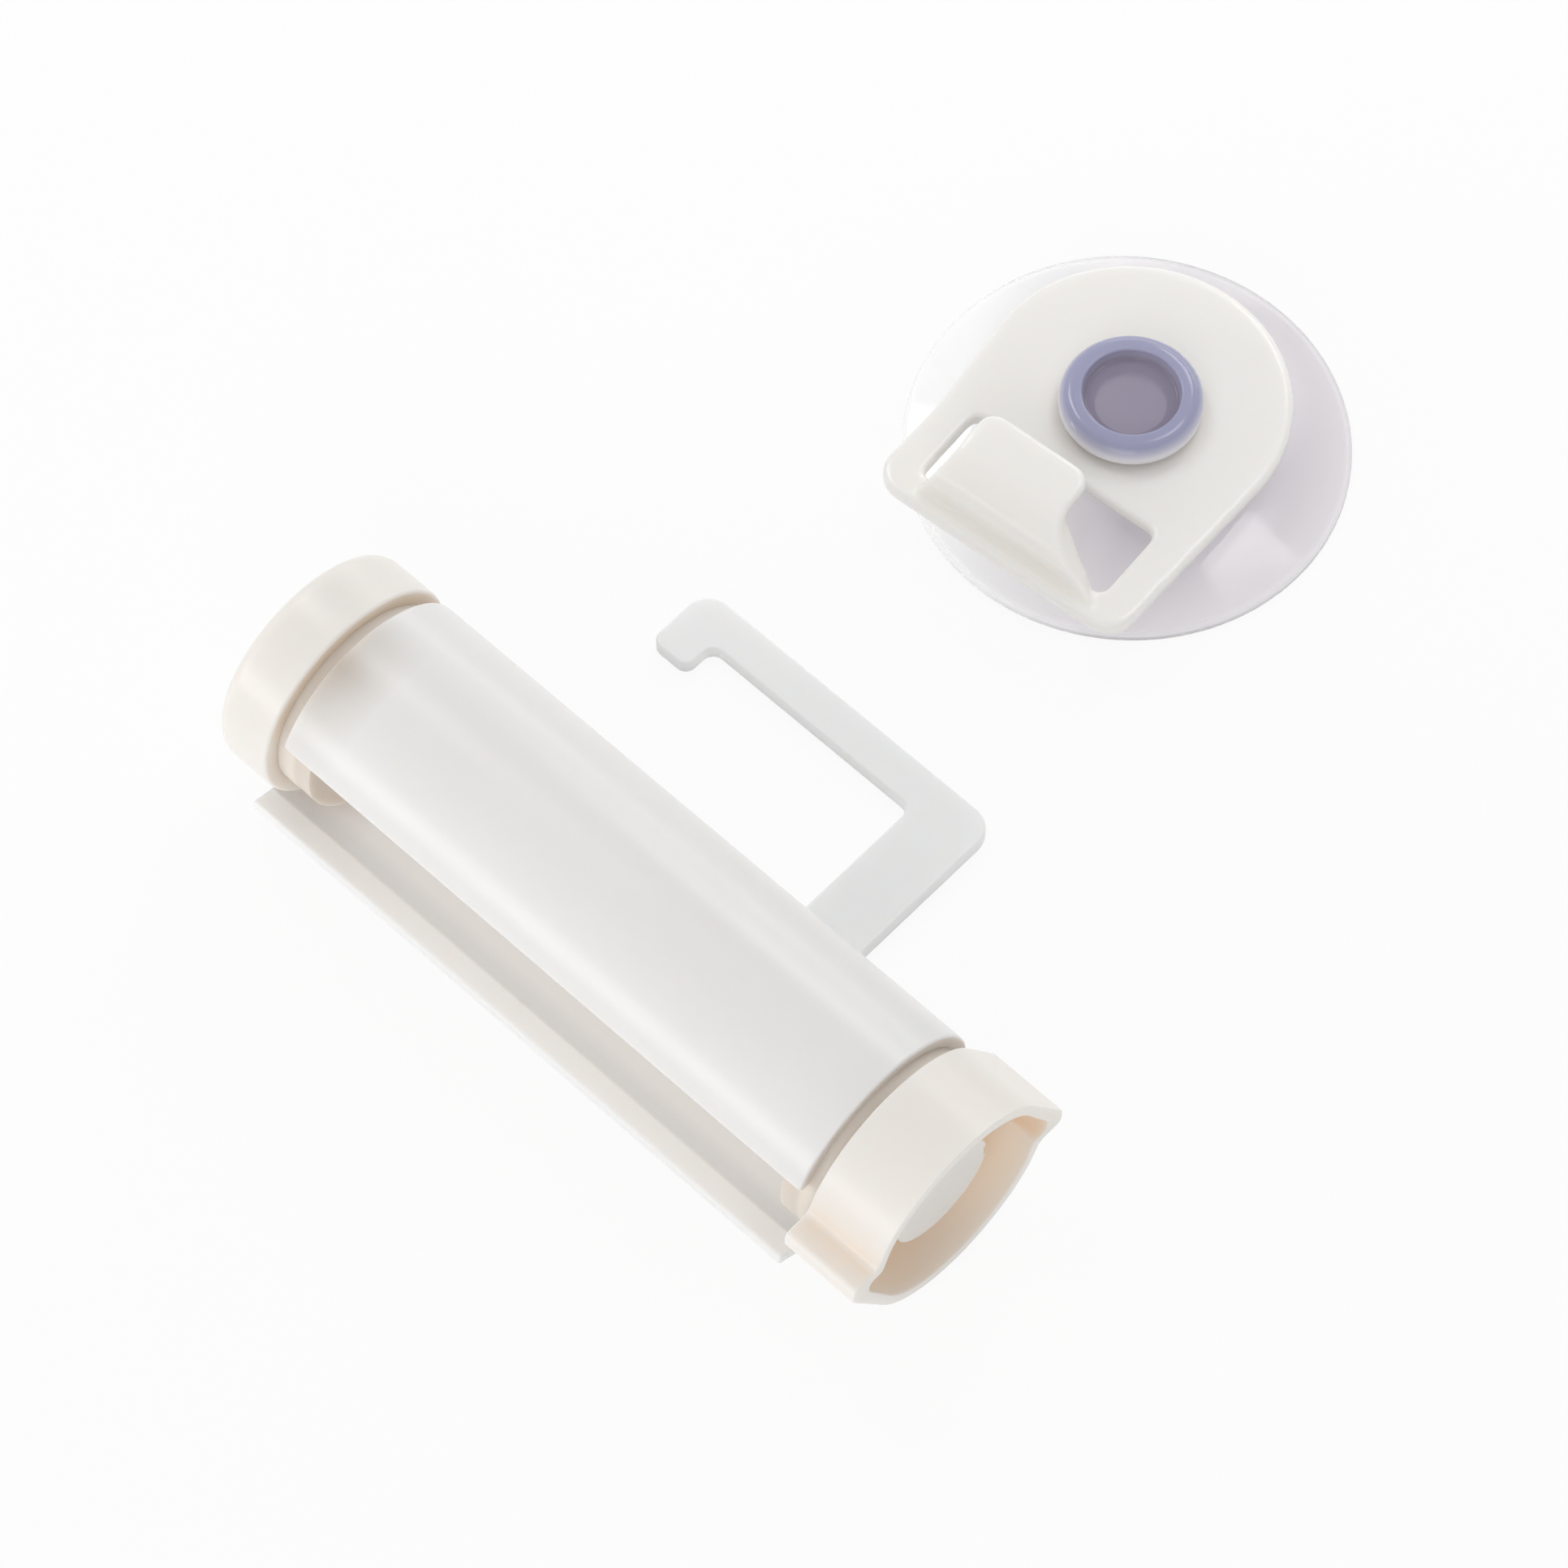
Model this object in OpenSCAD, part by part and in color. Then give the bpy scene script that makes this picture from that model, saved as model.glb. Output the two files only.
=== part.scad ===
// Winding squeezer for toothpaste tubes, lying beside the suction hook that it hangs from.
// The spindle runs along X with the open knob at +X, the hanger arm reaches out to +Y,
// and everything stands on z = 0.

/* [Casing] */
// Length of the casing shell along the spindle
shell_len = 74.7; // [66:1:110]
// Outer radius of the casing shell
shell_r = 13.3; // [12.4:0.1:13.5]
// Wall of the casing shell
shell_wall = 1.6; // [1.2:0.1:2]
// Where the upper lip of the mouth ends, in degrees round from the back
lip_angle = 156; // [140:1:160]
// Radius that rounds the edge of the upper lip
lip_round = 0.6; // [0.3:0.1:0.6]
// Thickness of the flat floor of the mouth
floor_t = 2; // [1.7:0.1:2.3]
// Height of the end cap above the surface that the casing lies on
floor_gap = 0.5; // [0.3:0.1:1]
// How far the flat floor reaches back under the shell
foot_back = 5; // [3:0.5:7]
// Length of the ramp from the bore down to the floor of the mouth
ramp_len = 2.5; // [1.5:0.1:4]

/* [Lower jaw] */
// Distance from the spindle line to the crease of the lower jaw
crease_y = 10.3; // [9.9:0.1:11]
// Length of the flared strip beyond the crease
flare_len = 3.1; // [2:0.1:5]
// Slope of the flared strip in degrees
flare_angle = 25; // [10:1:35]
// Thickness of the flared strip
flare_t = 1.2; // [1:0.1:1.6]
// How far the jaw runs on under the round end cap
jaw_over = 5.3; // [3:0.1:8]
// How far the jaw stops short of the shell at the winged knob
jaw_short = 1.5; // [1:0.1:4]

/* [Hanger arm] */
// Thickness of the flat arm
arm_t = 2; // [1.6:0.1:2.4]
// Distance from the middle of the shell to the near side of the first leg
arm_x = 9.2; // [4:0.1:14]
// Width of the first leg
leg_w = 8.3; // [6:0.1:10]
// Distance from the spindle line to the outer side of the long leg
arm_reach = 40.2; // [34:0.1:44]
// Width of the long leg
rail_w = 4.8; // [4:0.1:6]
// Length of the long leg with its corner and tip
rail_len = 43.3; // [36:0.1:46]
// Width of the turned-in tip
tip_w = 5.4; // [4:0.1:7]
// How far the tip turns in past the long leg
tip_drop = 4.2; // [3:0.1:6]
// Outer corner radius of the arm
arm_round = 3; // [2:0.1:4]
// Small corner radius of the arm
arm_fillet = 1.4; // [1:0.1:1.6]

/* [Spindle] */
// Radius of the slotted shaft
shaft_r = 4.6; // [4:0.1:5.4]
// Width of the slot that grips the end of the tube
slot_w = 2.2; // [1.6:0.1:2.8]
// Plain shaft left at each end of the slot
slot_margin = 2; // [1:0.5:4]
// How far each flange reaches into the casing
flange_in = 3; // [2:0.1:5]
// Width of the neck that shows between casing and end cap
neck_left = 1.8; // [1.2:0.1:3]
// Width of the neck that shows between casing and knob
neck_right = 1.5; // [1:0.1:2.4]
// Radius of the drive stubs at both ends
stub_r = 4; // [3.2:0.1:4.4]
// Distance across the two flats of a drive stub
stub_flats = 6.4; // [5.4:0.1:6.8]
// Radial running clearance of the flanges in the casing
run_gap = 0.08; // [0.05:0.01:0.1]
// Radial clearance of a part that is pushed on to a stub
push_gap = 0.05; // [0.03:0.01:0.1]

/* [End cap] */
// Gap between the flange of the spindle and the skirt of the end cap
cap_gap = 0.4; // [0.3:0.1:1.2]
// Length of the end cap
cap_len = 7.8; // [7:0.1:11]
// Wall of the end cap
cap_wall = 1.4; // [1:0.1:1.8]
// Edge radius of the end cap
cap_round = 1.3; // [0.8:0.1:1.3]
// How far the flange sits inside the rim of the end cap
cap_seat = 1; // [0.5:0.1:2]
// Wall of the socket inside the end cap
cap_socket_wall = 1.5; // [1:0.1:2.5]

/* [Knob] */
// Radius of the round body of the knob
knob_r = 13; // [12.6:0.1:13.4]
// Length of the knob
knob_len = 9.7; // [8:0.1:14]
// Wall of the knob round its open end
knob_wall = 1.3; // [1:0.1:1.6]
// Web that closes the knob towards the casing
knob_web = 1.6; // [1.2:0.1:2.4]
// Distance from the spindle line to the tip of a wing
wing_reach = 15.8; // [15.4:0.1:17]
// Height of the hollow side of a wing above the spindle line
wing_top = 3.7; // [3.6:0.1:5]
// Thickness of a wing at its tip
wing_tip_t = 2.2; // [2:0.1:3]
// Length along the round body where a wing hollow ends, in degrees
wing_blend = 14; // [10:1:20]
// Radius of the hollow between a wing and the round body
wing_fillet = 2; // [1:0.1:2.4]
// Solid length at the tip of each wing
wing_solid = 2.4; // [2.4:0.1:3.4]
// Radius of the hub inside the knob
hub_r = 6.1; // [5.6:0.1:6.6]

/* [Knob plug] */
// Radius of the head of the plug
plug_r = 6.7; // [6.2:0.1:7]
// Thickness of the head of the plug
plug_t = 1.2; // [0.8:0.1:1.6]
// Depth of the plug face below the rim of the knob
plug_depth = 2.4; // [1.5:0.1:4]
// Radius of the stem of the plug
stem_r = 1.8; // [1.2:0.1:2]
// Length of the stem of the plug
stem_len = 7; // [4:0.1:9]
// Width of the two small notches in the rim of the head
notch_w = 0.7; // [0.5:0.1:1]

/* [Suction cup] */
// Where the axis of the suction cup stands along X
cup_x = -5.2; // [-12:0.1:6]
// Distance from the spindle line to the axis of the suction cup
cup_y = 86.6; // [80:0.1:100]
// Radius of the rim of the suction cup
cup_r = 25.2; // [23:0.1:28]
// Thickness of the rim of the suction cup
cup_rim_t = 0.8; // [0.6:0.1:1.2]
// Height of the dome of the cup halfway out, as a share of its rise
cup_swell = 0.42; // [0.36:0.02:0.5]
// Radius that rounds the flank of the cup
cup_flank_r = 30; // [20:1:40]
// Width of the flat land of the rim
cup_land = 1.6; // [1:0.1:2]
// Height of the shoulder that the hook plate turns on
shoulder_h = 6; // [5:0.1:7]
// Radius of the shoulder
shoulder_r = 6.5; // [5.6:0.1:7.4]
// Thickness of the cup under the shoulder
crown_t = 2.1; // [1.6:0.1:2.6]
// Radius of the neck through the hook plate
neck_r = 4; // [3.4:0.1:4.6]
// Radius of the button above the hook plate
button_r = 8.1; // [7:0.1:9]
// Thickness of the button
button_t = 2.9; // [2.4:0.1:4]
// Radius of the recess in the button
recess_r = 5.4; // [4.6:0.1:6]
// Depth of the recess in the button
recess_d = 1.7; // [1:0.1:2]

/* [Hook plate] */
// Thickness of the hook plate and of its tongue
plate_t = 2; // [1.8:0.1:2.4]
// Radius of the round end of the plate
plate_r = 17.8; // [17:0.1:20]
// Distance of the centre of the round end behind the neck
plate_back = 1.2; // [0:0.1:3]
// Distance of the neck to the right of the middle line of the plate
neck_side = 0.5; // [0:0.1:2]
// Half width of the plate at its straight edge
plate_half = 16.8; // [15.8:0.1:17.8]
// Distance from the neck to the straight edge
plate_front = 24.8; // [23.4:0.1:27]
// Corner radius at the ends of the straight edge
plate_corner = 3.5; // [2:0.1:4]
// How far the plate is swivelled about the neck, in degrees
plate_turn = 5; // [0:0.5:8]
// Clearance between the neck and its hole in the plate
neck_gap = 0.08; // [0.05:0.01:0.1]
// Free height above and below the plate on the neck
plate_gap = 0.3; // [0.2:0.05:0.5]

/* [Hook tongue] */
// Half width of the window
window_half = 12.5; // [12:0.1:12.8]
// Width of the front rail under the tongue
front_rail = 3.5; // [3:0.1:4.4]
// Length of the window towards the neck
window_len = 10.2; // [9:0.1:10.6]
// Corner radius of the window
window_round = 1.4; // [0.8:0.1:2]
// Left side of the tongue, from the middle line of the plate
tongue_left = 9.8; // [8:0.1:10]
// Right side of the tongue, from the middle line of the plate
tongue_right = 4.6; // [3:0.1:5]
// How far the foot of the tongue spreads to the right along the front rail
tongue_spread = 4.8; // [3:0.1:6]
// How far the foot of the tongue spreads to the left
tongue_root = 1.8; // [0.5:0.1:2]
// Clear height between the plate and the underside of the tongue
tongue_gap = 4.1; // [4:0.1:5.5]
// Bend radius of the tongue on its middle line
tongue_bend = 2.6; // [2:0.1:2.8]
// Distance of the rise of the tongue behind the front rail
tongue_step = 1.4; // [0.8:0.1:2]
// How far the tip of the tongue stops short of the back of the window
tongue_short = 2.9; // [2:0.1:4]
// Rise of the tip above the flat of the tongue
tongue_lift = 0.6; // [0:0.1:0.8]
// Corner radius of the tip
tongue_round = 1.5; // [0.5:0.1:2]

/* [Hidden] */
$fn = 96;
eps = 0.01;
rise_angle = 80;
white = [0.93, 0.93, 0.92];
cream = [0.94, 0.90, 0.85];
violet = [0.72, 0.71, 0.84];

// Casing and spindle
bore_r = shell_r - shell_wall;
flange_r = bore_r - run_gap;
cap_r = flange_r + cap_gap + cap_wall;
axis_h = cap_r + floor_gap;
foot_top = axis_h - bore_r - shell_wall / 4;
half_len = shell_len / 2;
jaw_len = shell_len + jaw_over - jaw_short;
jaw_y = sqrt(pow(axis_h, 2) - pow(axis_h - floor_t, 2));
cap_x = -half_len - neck_left;
knob_x = half_len + neck_right;
stub_left = cap_len - cap_seat - cap_wall;
hub_len = knob_len - plug_depth - plug_t;
slot_len = shell_len - 2 * flange_in - 2 * slot_margin;

// Hook plate and tongue, as heights above the floor
plate_z = shoulder_h + plate_gap;
plate_top = plate_z + plate_t;
button_z = plate_top + plate_gap;
window_front = plate_front - front_rail;
tongue_z = plate_top + tongue_gap + plate_t / 2;
tongue_tip = window_front - window_len + tongue_short;

// Unit vector along v
function unit(v) = v / norm(v);

// Arc of n steps about centre m from angle a0 to angle a1
function arc(m, r, a0, a1, n) =
    [for (i = [0:n]) m + r * [cos(a0 + (a1 - a0) * i / n), sin(a0 + (a1 - a0) * i / n)]];

// Arc of radius r that rounds corner b between its neighbours a and c
function corner(a, b, c, r, n) =
    let (u = unit(a - b), v = unit(c - b), half = acos(u * v) / 2)
    let (m = b + unit(u + v) * r / sin(half), d = r / tan(half))
    let (p = b + u * d - m, q = b + v * d - m)
    let (a0 = atan2(p[1], p[0]), turn = (atan2(q[1], q[0]) - a0 + 540) % 360 - 180)
    arc(m, r, a0, a0 + turn, n);

function xy(p) = [p[0], p[1]];

// Closed outline from corners [x, y, radius], a radius of 0 being a sharp corner
function rounded(pts, n = 6) = let (k = len(pts)) [
    for (i = [0:k - 1])
        each pts[i][2] == 0 ? [xy(pts[i])]
            : corner(xy(pts[(i + k - 1) % k]), xy(pts[i]), xy(pts[(i + 1) % k]), pts[i][2], n)
];

// Corners of one side of a bent band whose middle line has corners [x, y, radius]
function side_of_band(path, off) = let (k = len(path)) [
    for (i = [0:k - 1])
        let (b = xy(path[i]))
        let (u = i > 0 ? unit(b - xy(path[i - 1])) : unit(xy(path[1]) - b))
        let (v = i < k - 1 ? unit(xy(path[i + 1]) - b) : u)
        let (nu = [-u[1], u[0]], nv = [-v[1], v[0]], s = unit(nu + nv))
        let (left_turn = cross(u, v) > 0 ? 1 : -1)
        let (p = b + s * off / (s * nu))
        [p[0], p[1], path[i][2] == 0 ? 0 : path[i][2] - left_turn * off]
];

// Hollow quarter of an ellipse that starts flat at p and climbs by size
function fillet(p, size, n = 8) =
    [for (i = [0:n]) p + [size[0] * sin(90 * i / n), size[1] * (1 - cos(90 * i / n))]];

function reversed(list) = [for (i = [len(list) - 1:-1:0]) list[i]];

// Turns a section drawn in Y and Z into a bar that runs along X from x0
module bar_x(x0, len) {
    translate([x0, 0, 0]) rotate([90, 0, 90]) linear_extrude(len) children();
}

// Cylinder along X about the spindle line
module rod_x(x0, len, r) {
    translate([x0, 0, axis_h]) rotate([0, 90, 0]) cylinder(h = len, r = r);
}

// Drive stub with two flats, grown by gap for its socket
module stub_x(x0, len, gap) {
    intersection() {
        rod_x(x0, len, stub_r + gap);
        translate([x0, -shell_r, axis_h - stub_flats / 2 - gap]) cube([len, 2 * shell_r, stub_flats + 2 * gap]);
    }
}

// Outline of the knob: a round body with two wings, one turned half round from the other.
// Each wing leaves the body on a tangent and meets it again in a hollow.
function knob_outline(r, reach, top, tip_t, fillet) =
    let (tip = [-reach, top - tip_t], leave = atan2(tip[1], tip[0]) + acos(r / norm(tip)))
    let (meet = 360 - asin(top / r), stop = meet - wing_blend, n = 14, edge_r = tip_t / 3)
    let (half = concat(
        [for (i = [0:n]) let (a = leave + (stop - leave) * i / n) [r * cos(a), r * sin(a), 0]],
        [[r * cos(meet), -top, fillet], [reach, -top, edge_r], [reach, tip_t - top, edge_r]]
    ))
    rounded(concat(half, [for (p = half) [-p[0], -p[1], p[2]]]), 5);

// Floor of the mouth, crease and flared strip, seen from the end
module jaw_section(from_y) {
    out = [-cos(flare_angle), sin(flare_angle)] * flare_len;
    crease = [-crease_y, floor_t];
    down = [-sin(flare_angle), -cos(flare_angle)] * flare_t;
    edge_r = flare_t * 0.4;
    polygon(rounded([
        [from_y, 0, 0],
        [-crease_y + down[0], 0, 0],
        [crease[0] + out[0] + down[0], crease[1] + out[1] + down[1], edge_r],
        [crease[0] + out[0], crease[1] + out[1], edge_r],
        [crease[0], crease[1], 0],
        [from_y, floor_t, 0],
    ]));
}

// Moulded casing: a C-shaped shell, its flat floor with the flared lower jaw, and the hanger arm
module casing() {
    color(white) union() {
        difference() {
            rod_x(-half_len, shell_len, shell_r);
            rod_x(-half_len - 1, shell_len + 2, bore_r);
            bar_x(-half_len - 1, shell_len + 2) translate([0, axis_h]) polygon(mouth_cut());
        }
        bar_x(-half_len, shell_len)
            polygon([
                [foot_back, 0],
                [-crease_y, 0],
                [-crease_y, floor_t],
                [-ramp_len / 2, floor_t],
                [0, foot_top],
                [foot_back, foot_top],
            ]);
        bar_x(-half_len - jaw_over, jaw_len) jaw_section(-jaw_y);
        hanger_arm();
    }
}

// Outline of the mouth about the spindle line, cut out of the shell.
// It rounds the edge of the upper lip, and ends below in a ramp down to the floor.
function mouth_cut() =
    let (far = 2 * shell_r, floor_z = floor_t - axis_h)
    let (out = [cos(lip_angle), sin(lip_angle)], back = [sin(lip_angle), -cos(lip_angle)])
    let (ramp = [-ramp_len, floor_z], slope = [ramp_len, -bore_r - floor_z])
    let (mid = shell_wall / 2, flank = mid + lip_round, flank_back = lip_round * 1.6)
    let (bend = mid - lip_round * 0.4, bend_back = lip_round * 0.2)
    concat(
        [[0, 0]],
        [for (side = [[-flank, flank_back], [-bend, bend_back], [0, 0], [bend, bend_back], [flank, flank_back]])
            out * (bore_r + mid + side[0]) + back * side[1]],
        [out * far, [-far, -far], ramp - slope, ramp + slope * 1.8]
    );

// Flat hanger arm: a leg square to the casing, a long leg beside it and a turned-in tip
module hanger_arm() {
    near = arm_x;
    far = arm_x + leg_w;
    end = far - rail_len;
    inner = arm_reach - rail_w;
    drop = inner - tip_drop;
    linear_extrude(arm_t)
        polygon(rounded([
            [near, 0, 0],
            [far, 0, 0],
            [far, arm_reach, arm_round],
            [end, arm_reach, arm_round],
            [end, drop, arm_fillet],
            [end + tip_w, drop, arm_fillet],
            [end + tip_w, inner, arm_fillet],
            [near, inner, arm_fillet],
        ]));
}

// Winding spindle: a slotted shaft between two flanges, with a flatted stub at each end
module spindle() {
    flange_left = neck_left + cap_seat + flange_in;
    flange_right = neck_right + flange_in;
    color(cream) difference() {
        union() {
            rod_x(-half_len, shell_len, shaft_r);
            rod_x(cap_x - cap_seat, flange_left, flange_r);
            rod_x(half_len - flange_in, flange_right, flange_r);
            stub_x(cap_x - cap_seat - stub_left, stub_left + 1, 0);
            stub_x(knob_x - 1, hub_len + 1, 0);
        }
        translate([-slot_len / 2, -shaft_r - 1, axis_h - slot_w / 2]) cube([slot_len, 2 * shaft_r + 2, slot_w]);
        rod_x(knob_x + hub_len - stem_len, stem_len + 1, stem_r + push_gap);
    }
}

// Round end cap: a skirt with a closed end and a socket for the stub
module end_cap() {
    color(cream) difference() {
        translate([cap_x, 0, axis_h]) rotate([0, -90, 0]) {
            rotate_extrude() polygon(rounded([
                [0, cap_len - cap_wall, 0],
                [cap_r - cap_wall, cap_len - cap_wall, 0],
                [cap_r - cap_wall, 0, 0],
                [cap_r, 0, 0],
                [cap_r, cap_len, cap_round],
                [0, cap_len, 0],
            ]));
            translate([0, 0, cap_seat]) cylinder(h = stub_left + eps, r = stub_r + push_gap + cap_socket_wall);
        }
        stub_x(cap_x - cap_seat - stub_left, stub_left + 1, push_gap);
    }
}

// Winged knob, open at its outer end, with a hub on the stub
module knob() {
    color(cream) difference() {
        union() {
            difference() {
                bar_x(knob_x, knob_len)
                    translate([0, axis_h])
                        polygon(knob_outline(knob_r, wing_reach, wing_top, wing_tip_t, wing_fillet));
                bar_x(knob_x + knob_web, knob_len)
                    translate([0, axis_h])
                        polygon(knob_outline(
                            knob_r - knob_wall, wing_reach - wing_solid,
                            wing_top - knob_wall, wing_tip_t - knob_wall, wing_fillet / 2));
            }
            rod_x(knob_x + knob_web - eps, hub_len - knob_web + eps, hub_r);
        }
        stub_x(knob_x - 1, hub_len + 2, push_gap);
    }
}

// Plug that holds the knob on the spindle: a flat head with two notches and a stem
module knob_plug() {
    head_x = knob_x + hub_len;
    color(cream) difference() {
        union() {
            rod_x(head_x, plug_t, plug_r);
            rod_x(head_x - stem_len + 1, stem_len - 1 + eps, stem_r);
        }
        for (side = [-1, 1])
            translate([head_x - 1, side * plug_r - notch_w / 2, axis_h - notch_w])
                cube([plug_t + 2, notch_w, 2 * notch_w]);
    }
}

// Clear suction cup with the neck and the button that hold the hook plate
module suction_cup() {
    land_r = cup_r - cup_land;
    crown = shoulder_h - crown_t;
    crown_round = 4;
    button_top = button_z + button_t;
    edge_r = 0.6;
    bevel = 0.9;
    color(violet, 0.6) translate([cup_x, cup_y, 0]) rotate_extrude() polygon(rounded([
        [0, crown, 0],
        [shoulder_r, crown, crown_round],
        [(shoulder_r + land_r) / 2, crown * cup_swell, cup_flank_r],
        [land_r, 0, 0],
        [cup_r, 0, 0],
        [cup_r, cup_rim_t, cup_rim_t / 2],
        [(shoulder_r + cup_r) / 2, cup_rim_t + (shoulder_h - cup_rim_t) * cup_swell, cup_flank_r],
        [shoulder_r, shoulder_h, edge_r],
        [neck_r, shoulder_h, 0],
        [neck_r, button_z, 0],
        [button_r, button_z, edge_r],
        [button_r, button_top, edge_r * 2],
        [recess_r + bevel, button_top, edge_r],
        [recess_r, button_top - recess_d, edge_r],
        [0, button_top - recess_d, 0],
    ]));
}

// White hook plate: an arch with a straight front edge, a window, and a tongue bent up over it
module hook_plate() {
    color(white) translate([cup_x, cup_y, 0]) rotate([0, 0, plate_turn]) difference() {
        translate([-neck_side, 0, 0]) union() {
            difference() {
                translate([0, 0, plate_z]) linear_extrude(plate_t) polygon(plate_outline());
                translate([0, 0, plate_z - 1]) linear_extrude(plate_t + 2) polygon(window_outline());
            }
            tongue();
        }
        translate([0, 0, plate_z - 1]) cylinder(h = plate_t + 2, r = neck_r + neck_gap);
    }
}

function plate_outline() = concat(
    arc([0, plate_back], plate_r, 0, 180, 36),
    corner([-plate_r, plate_back], [-plate_half, -plate_front], [plate_half, -plate_front], plate_corner, 8),
    corner([-plate_half, -plate_front], [plate_half, -plate_front], [plate_r, plate_back], plate_corner, 8)
);

function window_outline() = let (back = window_front - window_len) rounded([
    [-window_half, -window_front, window_round],
    [window_half, -window_front, window_round],
    [window_half, -back, window_round],
    [-window_half, -back, window_round],
]);

// Tongue that rises from the front rail and runs back over the window.
// It is a bent band, trimmed to its outline as seen from the front and from above.
module tongue() {
    mid = plate_z + plate_t / 2;
    foot = window_front - tongue_step;
    rise = tongue_z - mid;
    knee = foot - rise / tan(rise_angle);
    path = [
        [-plate_front + plate_corner / 2, mid, 0],
        [-foot, mid, tongue_bend],
        [-knee, tongue_z, tongue_bend],
        [-tongue_tip, tongue_z + tongue_lift, 0],
    ];
    top = tongue_z + plate_t + tongue_lift;
    left = -tongue_left - tongue_root;
    right = tongue_right + tongue_spread;
    intersection() {
        translate([left, 0, 0])
            rotate([90, 0, 90])
                linear_extrude(right - left)
                    polygon(rounded(concat(
                        side_of_band(path, plate_t / 2),
                        reversed(side_of_band(path, -plate_t / 2))
                    )));
        rotate([90, 0, 0])
            linear_extrude(plate_front)
                polygon(concat(
                    [[left - 1, plate_z], [right + 1, plate_z], [right + 1, plate_top]],
                    fillet([right, plate_top], [-tongue_spread, tongue_gap]),
                    [[tongue_right, top], [-tongue_left, top]],
                    reversed(fillet([left, plate_top], [tongue_root, tongue_gap])),
                    [[left - 1, plate_top]]
                ));
        linear_extrude(top)
            polygon(rounded([
                [-tongue_left, -tongue_tip, tongue_round],
                [-tongue_left, -window_front + window_len / 2, 0],
                [left, -window_front + window_len / 2, 0],
                [left, -plate_front, 0],
                [right, -plate_front, 0],
                [right, -window_front + window_len / 2, 0],
                [tongue_right, -window_front + window_len / 2, 0],
                [tongue_right, -tongue_tip, tongue_round],
            ]));
    }
}

casing();
spindle();
end_cap();
knob();
knob_plug();
suction_cup();
hook_plate();
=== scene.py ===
"""A winding squeezer for toothpaste tubes, lying beside the suction hook that it hangs from."""

from math import acos, asin, atan2, cos, hypot, pi, radians, sin, sqrt, tan

import bmesh
import bpy
from mathutils import Matrix, Vector


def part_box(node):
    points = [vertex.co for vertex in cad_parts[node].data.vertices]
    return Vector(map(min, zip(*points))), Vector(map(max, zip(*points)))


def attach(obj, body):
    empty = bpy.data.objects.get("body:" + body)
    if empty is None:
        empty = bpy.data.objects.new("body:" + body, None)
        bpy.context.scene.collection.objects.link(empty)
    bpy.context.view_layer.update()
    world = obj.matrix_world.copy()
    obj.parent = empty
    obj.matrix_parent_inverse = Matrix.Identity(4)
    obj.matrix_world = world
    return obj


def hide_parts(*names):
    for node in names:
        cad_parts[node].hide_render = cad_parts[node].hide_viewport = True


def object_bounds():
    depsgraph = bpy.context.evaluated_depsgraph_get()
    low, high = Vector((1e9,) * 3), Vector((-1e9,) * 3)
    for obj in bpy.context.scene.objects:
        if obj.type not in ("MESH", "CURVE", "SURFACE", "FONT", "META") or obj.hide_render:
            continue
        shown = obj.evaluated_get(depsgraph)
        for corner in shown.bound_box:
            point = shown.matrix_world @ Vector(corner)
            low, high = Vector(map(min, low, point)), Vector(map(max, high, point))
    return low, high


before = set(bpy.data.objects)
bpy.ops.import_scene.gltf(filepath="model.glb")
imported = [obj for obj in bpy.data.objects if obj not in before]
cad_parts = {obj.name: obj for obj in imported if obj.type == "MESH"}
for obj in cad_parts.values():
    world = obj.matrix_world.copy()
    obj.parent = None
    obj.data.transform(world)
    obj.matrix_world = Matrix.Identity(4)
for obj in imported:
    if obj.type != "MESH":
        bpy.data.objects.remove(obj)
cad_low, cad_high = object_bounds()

# Camera.
# It stands where the photograph was taken from: high in front of the open knob, with a long lens.
MM = 0.001
camera_at = Vector((209.82, -196.41, 566.79)) * MM
camera_dip = 1.07
camera_turn = 0.758
camera = bpy.data.cameras.new("camera")
camera.sensor_width = 36
camera.lens = 136.57
camera_stand = bpy.data.objects.new("camera", camera)
camera_stand.location = camera_at
camera_stand.rotation_euler = (pi / 2 - camera_dip, 0, camera_turn)
bpy.context.scene.collection.objects.link(camera_stand)
bpy.context.scene.camera = camera_stand
bpy.context.scene.view_settings.view_transform = "Standard"


# Floor.
# A sheet of plain white paper. It shows almost white to the eye and in gloss, and keeps soft shadows.
class Value:
    """One output of a shader node, so that shader maths reads as plain expressions."""

    def __init__(self, shader, socket):
        self.shader = shader
        self.socket = socket

    def __add__(self, other):
        return self.shader.math("ADD", self, other)

    def __radd__(self, other):
        return self.shader.math("ADD", other, self)

    def __sub__(self, other):
        return self.shader.math("SUBTRACT", self, other)

    def __rsub__(self, other):
        return self.shader.math("SUBTRACT", other, self)

    def __mul__(self, other):
        return self.shader.math("MULTIPLY", self, other)

    def __rmul__(self, other):
        return self.shader.math("MULTIPLY", other, self)

    def scaled(self, sizes):
        """A vector with each of its three parts multiplied."""
        return self.shader.node("VectorMath", {"operation": "MULTIPLY"}, self, sizes)


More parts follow.
